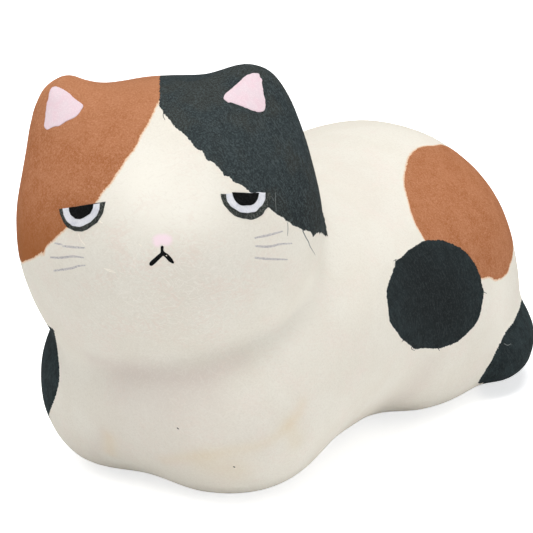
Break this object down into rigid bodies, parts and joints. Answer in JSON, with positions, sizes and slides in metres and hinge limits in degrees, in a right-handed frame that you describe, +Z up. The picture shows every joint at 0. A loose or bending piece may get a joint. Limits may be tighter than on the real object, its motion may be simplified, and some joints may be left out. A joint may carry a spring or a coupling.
{
  "type": "papier-mache cat ornament",
  "caption": "Papier-mache cat lying with tucked paws, its head turned to one side, with patches of coloured paper.",
  "frame": {"origin": "on the ground plane, at the middle of the flat underside, on the body's plane of symmetry", "axes": "+Z up, the body faces -Y, the cat's left side is +X; the head is turned about 34 degrees from -Y towards +X"},
  "size_m": [0.0855, 0.1633, 0.1007],
  "materials": {
    "pasted_paper": "matt handmade paper with visible fibres, off-white, with red-brown and charcoal patches"
  },
  "bodies": {
    "root": {"cat": "pasted_paper"}
  },
  "joints": []
}
